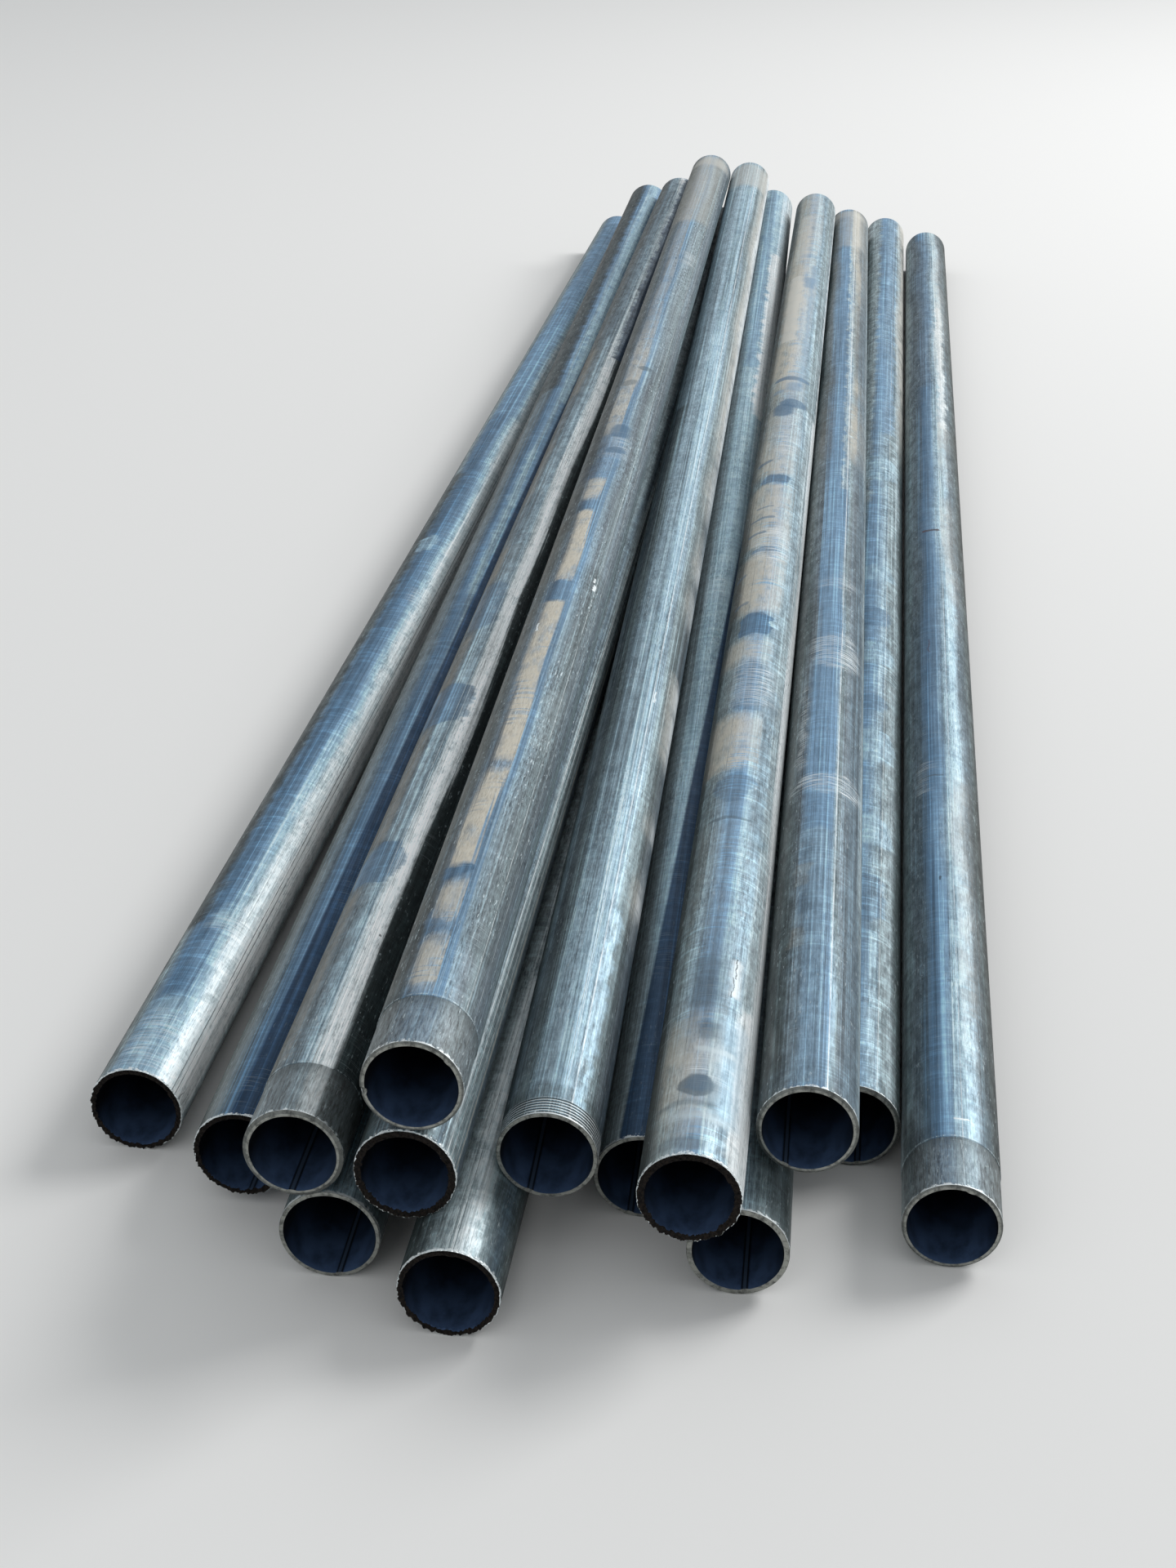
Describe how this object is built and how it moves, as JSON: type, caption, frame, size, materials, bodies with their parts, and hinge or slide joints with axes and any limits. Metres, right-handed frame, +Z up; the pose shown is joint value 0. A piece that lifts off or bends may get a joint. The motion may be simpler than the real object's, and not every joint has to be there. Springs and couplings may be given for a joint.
{
  "type": "stack of steel tubes",
  "caption": "Loose heap of long round steel tubes of one diameter, lying side by side and on each other, with sawn, plain and bevelled near ends.",
  "frame": {"origin": "middle of the heap's footprint, on the ground", "axes": "+Y along the tubes from their near ends to their far ends, +Z up, +X to the right seen from the near ends"},
  "size_m": [0.708, 3.282, 0.2209],
  "materials": {
    "tube_steel": "mill-finish welded steel tube, drawn streaks along it, blue-grey with tan dust"
  },
  "bodies": {
    "root": {"base_tube_1": "tube_steel", "base_tube_2": "tube_steel", "base_tube_3": "tube_steel", "base_tube_4": "tube_steel", "base_tube_5": "tube_steel", "base_tube_6": "tube_steel", "base_tube_7": "tube_steel", "base_tube_8": "tube_steel", "top_tube": "tube_steel", "upper_tube_1": "tube_steel", "upper_tube_2": "tube_steel", "upper_tube_3": "tube_steel", "upper_tube_4": "tube_steel", "upper_tube_5": "tube_steel"}
  },
  "joints": []
}
